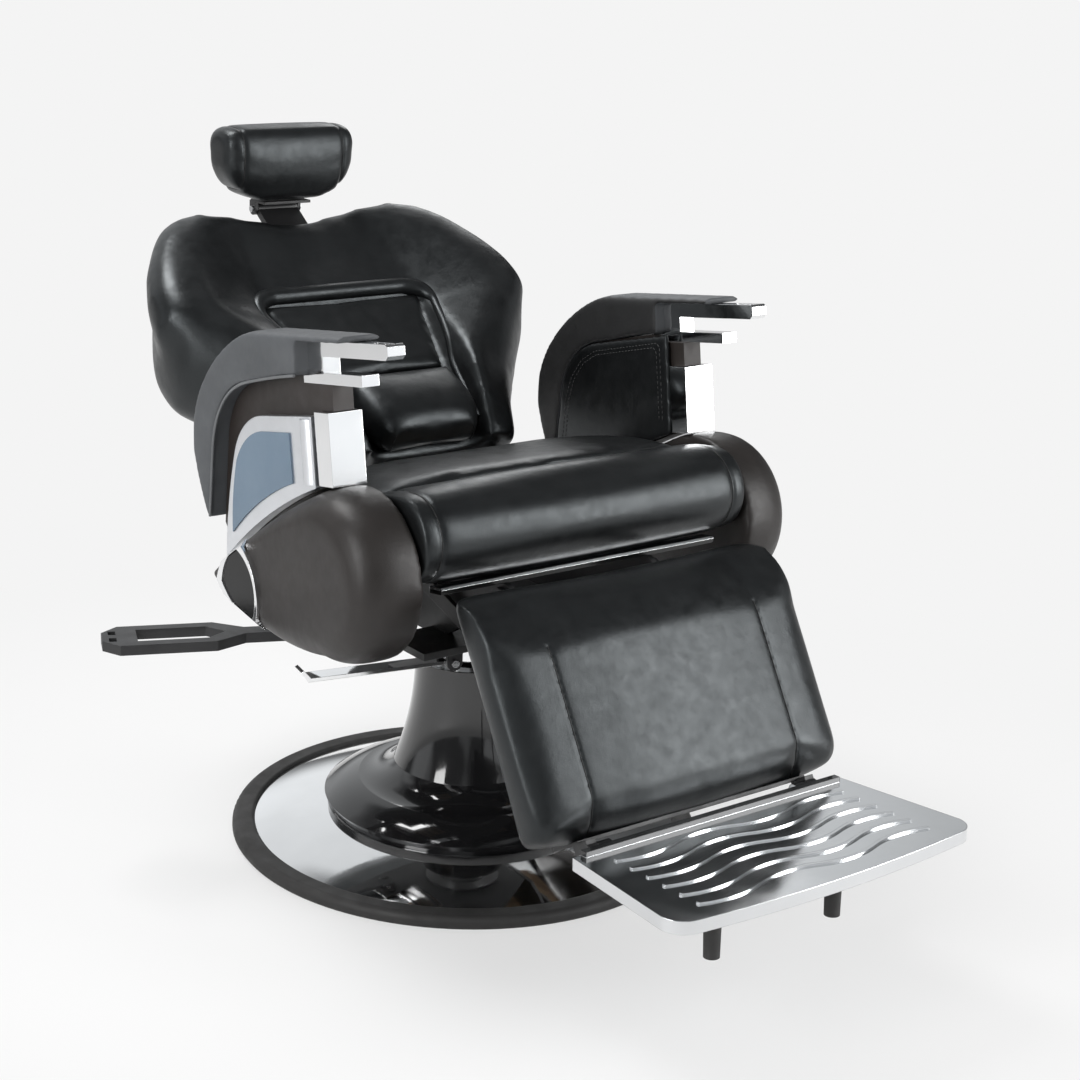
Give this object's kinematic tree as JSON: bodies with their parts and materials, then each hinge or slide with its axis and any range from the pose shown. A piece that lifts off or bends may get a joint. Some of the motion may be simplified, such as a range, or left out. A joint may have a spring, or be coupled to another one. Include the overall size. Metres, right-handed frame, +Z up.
{
  "type": "barber chair",
  "caption": "Hydraulic barber chair with a round base, swivelling seat, padded arms on side pods, reclining back with linked legrest, flip-up footplate and sliding headrest.",
  "frame": {"origin": "on the floor, at the centre of the round base", "axes": "+Z up along the lifting column; the sitter faces -Y; +X is the sitter's left"},
  "size_m": [0.8332, 1.3136, 0.9396],
  "materials": {
    "leather_black": "semi-gloss with a fine grain",
    "pod_grey": "semi-matte dark warm grey upholstery",
    "pad_grey": "matte soft-touch grey",
    "core_brown": "matte dark brown",
    "chrome": "polished",
    "satin_silver": "satin",
    "inset_blue": "satin blue-grey",
    "plate_aluminium": "polished casting",
    "gloss_black": "gloss",
    "rubber_black": "matte",
    "lever_black": "satin black",
    "frame_black": "satin black",
    "steel": "turned",
    "board_wood": "plywood"
  },
  "bodies": {
    "base": {"base_plate": "frame_black", "base_ring": "rubber_black", "base_dish": "chrome", "pump_cover": "gloss_black", "pump_cylinder": "steel", "cylinder_gland": "steel", "base_bolts": "steel"},
    "ram": {"lift_piston": "chrome", "spigot_nut": "steel"},
    "seat": {"swivel_hub": "frame_black", "seat_frame": "frame_black", "legrest_shaft": "frame_black", "recline_clamp": "frame_black", "seat_board": "board_wood", "seat_cushion": "leather_black", "front_roll": "leather_black", "trim_strip": "chrome", "badge_frames": "chrome", "badge_plates": "gloss_black", "arm_insets": "inset_blue", "lever_bracket": "frame_black", "lift_bracket": "frame_black", "lever_pins": "steel", "side_pod_left": "pod_grey", "side_pod_right": "pod_grey", "arm_pad_left": "pad_grey", "arm_pad_right": "pad_grey", "arm_core_left": "core_brown", "arm_core_right": "core_brown", "arm_lining_left": "leather_black", "arm_lining_right": "leather_black", "arm_panel_left": "satin_silver", "arm_panel_right": "satin_silver", "arm_post_left": "chrome", "arm_post_right": "chrome", "arm_bracket_left": "chrome", "arm_bracket_right": "chrome"},
    "back": {"back_frame": "frame_black", "back_shaft": "steel", "recline_quadrant": "frame_black", "headrest_guide": "frame_black", "back_cushion": "leather_black", "back_panel": "leather_black", "lumbar_pad": "leather_black", "back_shell": "leather_black"},
    "headrest_slider": {"headrest_stem": "frame_black"},
    "headrest": {"headrest_bracket": "frame_black", "headrest_pin": "steel", "headrest_pillow": "leather_black"},
    "legrest": {"legrest_frame": "frame_black", "legrest_cushion": "leather_black", "foot_bar": "frame_black", "foot_pins": "steel"},
    "link_pair": {"legrest_links": "frame_black"},
    "foot_plate": {"footplate": "plate_aluminium", "foot_pegs": "rubber_black"},
    "back_lever": {"recline_lever": "lever_black"},
    "pump_lever": {"lift_lever": "chrome"}
  },
  "joints": [
    {"name": "lift", "type": "slide", "parent": "base", "child": "ram", "axis": [0, 0, 1], "range_m": [0, 0.16]},
    {"name": "swivel", "type": "hinge", "parent": "ram", "child": "seat", "pos_m": [0, 0, 0.3], "axis": [0, 0, 1], "continuous": true},
    {"name": "recline", "type": "hinge", "parent": "seat", "child": "back", "pos_m": [0, 0.09408, 0.49473], "axis": [-1, 0, 0], "range_deg": [-36, 22]},
    {"name": "legrest_swing", "type": "hinge", "parent": "seat", "child": "legrest", "pos_m": [0, -0.23535, 0.42844], "axis": [-1, 0, 0], "range_deg": [-15.25, 9.35]},
    {"name": "link_swing", "type": "hinge", "parent": "legrest", "child": "link_pair", "pos_m": [0, -0.23906, 0.35754], "axis": [-1, 0, 0], "range_deg": [-9.35, 15.25]},
    {"name": "footplate_flip", "type": "hinge", "parent": "legrest", "child": "foot_plate", "pos_m": [0, -0.50611, 0.20498], "axis": [-1, 0, 0], "range_deg": [0, 60]},
    {"name": "headrest_slide", "type": "slide", "parent": "back", "child": "headrest_slider", "axis": [0, 0.829, 0.5592], "range_m": [0, 0.06]},
    {"name": "headrest_tilt", "type": "hinge", "parent": "headrest_slider", "child": "headrest", "pos_m": [0, 0.54336, 0.80863], "axis": [-1, 0, 0], "range_deg": [-18, 25]},
    {"name": "recline_lever_pull", "type": "hinge", "parent": "seat", "child": "back_lever", "pos_m": [-0.158, 0.052, 0.307], "axis": [0.3746, 0.9272, 0], "range_deg": [0, 12], "stiffness_Nm_per_rad": 4, "springref_deg": -20.05},
    {"name": "lift_lever_push", "type": "hinge", "parent": "seat", "child": "pump_lever", "pos_m": [-0.128, -0.134, 0.318], "axis": [-0.1908, -0.9816, 0], "range_deg": [0, 10], "stiffness_Nm_per_rad": 3, "springref_deg": -20.05}
  ],
  "couplings": [
    {"joint": "legrest_swing", "follows": "recline", "ratio": 0.42253},
    {"joint": "link_swing", "follows": "recline", "ratio": -0.42253}
  ]
}
